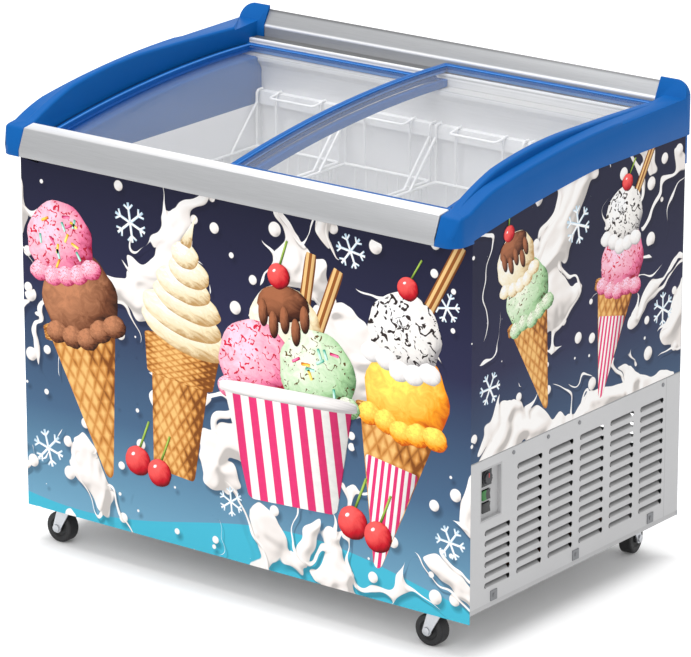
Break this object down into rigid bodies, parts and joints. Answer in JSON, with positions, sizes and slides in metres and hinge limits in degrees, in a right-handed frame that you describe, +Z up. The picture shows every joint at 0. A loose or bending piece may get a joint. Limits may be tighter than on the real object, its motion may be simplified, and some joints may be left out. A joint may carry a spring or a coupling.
{
  "type": "ice cream freezer",
  "caption": "Chest freezer for ice cream on swivel casters, with curved sliding glass lids, hanging wire baskets, end caps and a louvred machine bay.",
  "frame": {"origin": "on the floor, under the middle of the outer box", "axes": "+X to the right as a customer faces the front, +Y to the rear, +Z up"},
  "size_m": [0.966, 0.672, 0.857],
  "materials": {
    "printed_panel": "printed film",
    "white_panel": "smooth white",
    "grey_panel": "fine grey powder coat",
    "galvanised": "galvanised",
    "liner": "white stucco",
    "foam": "closed-cell foam",
    "blue_plastic": "satin blue",
    "rail": "anodised",
    "white_plastic": "smooth",
    "glass": "clear tempered",
    "brush": "bristle",
    "white_wire": "white dip coat",
    "black_plastic": "fine texture",
    "green_plastic": "lit lens",
    "black_paint": "semi-gloss",
    "copper": "drawn copper",
    "zinc": "zinc plated",
    "rubber": "matt",
    "tyre": "satin black"
  },
  "bodies": {
    "cabinet": {"front_panel": "printed_panel", "left_panel": "printed_panel", "right_panel": "printed_panel", "rear_panel": "white_panel", "base_pan": "galvanised", "foam_insulation": "foam", "inner_liner": "liner", "machine_bay_wall": "galvanised", "evaporator_tube": "copper", "side_grille": "grey_panel", "grille_fasteners": "zinc", "control_plate": "white_plastic", "thermostat": "black_plastic", "switch_bodies": "black_plastic", "left_end_cap": "blue_plastic", "right_end_cap": "blue_plastic", "front_rail": "rail", "rear_rail": "rail", "front_basket_rail": "white_plastic", "rear_basket_rail": "white_plastic", "compressor": "black_paint", "compressor_feet": "rubber", "terminal_box": "black_plastic", "condenser": "rail", "fan_shroud": "zinc", "fan_motor": "black_paint", "filter_drier": "copper", "refrigerant_pipes": "copper", "drain_tube": "white_plastic", "drain_plug": "rubber", "cord_gland": "black_plastic", "front_left_caster_plate": "zinc", "front_right_caster_plate": "zinc", "rear_left_caster_plate": "zinc", "rear_right_caster_plate": "zinc"},
    "left_lid": {"left_lid_glass": "glass", "left_lid_front_bar": "blue_plastic", "left_lid_rear_bar": "blue_plastic", "left_lid_side_bars": "blue_plastic"},
    "right_lid": {"right_lid_glass": "glass", "right_lid_front_bar": "blue_plastic", "right_lid_rear_bar": "blue_plastic", "right_lid_side_bars": "blue_plastic", "right_lid_brush_seal": "brush"},
    "fan": {"fan_blade": "black_plastic"},
    "dial": {"thermostat_dial": "black_plastic"},
    "power_rocker": {"power_switch": "green_plastic"},
    "auxiliary_rocker": {"auxiliary_switch": "black_plastic"},
    "basket_1_body": {"basket_1": "white_wire"},
    "basket_2_body": {"basket_2": "white_wire"},
    "basket_3_body": {"basket_3": "white_wire"},
    "basket_4_body": {"basket_4": "white_wire"},
    "front_left_swivel": {"front_left_caster_fork": "zinc"},
    "front_left_roller": {"front_left_caster_wheel": "tyre"},
    "front_right_swivel": {"front_right_caster_fork": "zinc"},
    "front_right_roller": {"front_right_caster_wheel": "tyre"},
    "rear_left_swivel": {"rear_left_caster_fork": "zinc"},
    "rear_left_roller": {"rear_left_caster_wheel": "tyre"},
    "rear_right_swivel": {"rear_right_caster_fork": "zinc"},
    "rear_right_roller": {"rear_right_caster_wheel": "tyre"}
  },
  "joints": [
    {"name": "left_lid_slide", "type": "slide", "parent": "cabinet", "child": "left_lid", "axis": [1, 0, 0], "range_m": [0, 0.422]},
    {"name": "right_lid_slide", "type": "slide", "parent": "cabinet", "child": "right_lid", "axis": [1, 0, 0], "range_m": [-0.422, 0]},
    {"name": "basket_1_lift", "type": "slide", "parent": "cabinet", "child": "basket_1_body", "axis": [0, 0, 1], "range_m": [0, 0.015]},
    {"name": "basket_2_lift", "type": "slide", "parent": "cabinet", "child": "basket_2_body", "axis": [0, 0, 1], "range_m": [0, 0.015]},
    {"name": "basket_3_lift", "type": "slide", "parent": "cabinet", "child": "basket_3_body", "axis": [0, 0, 1], "range_m": [0, 0.015]},
    {"name": "basket_4_lift", "type": "slide", "parent": "cabinet", "child": "basket_4_body", "axis": [0, 0, 1], "range_m": [0, 0.015]},
    {"name": "front_left_swivel_turn", "type": "hinge", "parent": "cabinet", "child": "front_left_swivel", "pos_m": [-0.405, -0.257, 0.079], "axis": [0, 0, 1], "continuous": true},
    {"name": "front_left_wheel_roll", "type": "hinge", "parent": "front_left_swivel", "child": "front_left_roller", "pos_m": [-0.426, -0.257, 0.028], "axis": [0, -1, 0], "continuous": true},
    {"name": "front_right_swivel_turn", "type": "hinge", "parent": "cabinet", "child": "front_right_swivel", "pos_m": [0.405, -0.257, 0.079], "axis": [0, 0, 1], "continuous": true},
    {"name": "front_right_wheel_roll", "type": "hinge", "parent": "front_right_swivel", "child": "front_right_roller", "pos_m": [0.384, -0.257, 0.028], "axis": [0, -1, 0], "continuous": true},
    {"name": "rear_left_swivel_turn", "type": "hinge", "parent": "cabinet", "child": "rear_left_swivel", "pos_m": [-0.405, 0.284, 0.079], "axis": [0, 0, 1], "continuous": true},
    {"name": "rear_left_wheel_roll", "type": "hinge", "parent": "rear_left_swivel", "child": "rear_left_roller", "pos_m": [-0.40865, 0.30468, 0.028], "axis": [-0.9848, -0.1736, 0], "continuous": true},
    {"name": "rear_right_swivel_turn", "type": "hinge", "parent": "cabinet", "child": "rear_right_swivel", "pos_m": [0.405, 0.284, 0.079], "axis": [0, 0, 1], "continuous": true},
    {"name": "rear_right_wheel_roll", "type": "hinge", "parent": "rear_right_swivel", "child": "rear_right_roller", "pos_m": [0.40135, 0.30468, 0.028], "axis": [-0.9848, -0.1736, 0], "continuous": true},
    {"name": "fan_spin", "type": "hinge", "parent": "cabinet", "child": "fan", "pos_m": [0.338, -0.123, 0.193], "axis": [0, 1, 0], "continuous": true},
    {"name": "dial_turn", "type": "hinge", "parent": "cabinet", "child": "dial", "pos_m": [0.4735, -0.234, 0.306], "axis": [1, 0, 0], "range_deg": [-135, 135]},
    {"name": "power_rock", "type": "hinge", "parent": "cabinet", "child": "power_rocker", "pos_m": [0.4695, -0.236, 0.277], "axis": [0, 1, 0], "range_deg": [-6, 6]},
    {"name": "auxiliary_rock", "type": "hinge", "parent": "cabinet", "child": "auxiliary_rocker", "pos_m": [0.4695, -0.236, 0.255], "axis": [0, 1, 0], "range_deg": [-6, 6]}
  ]
}
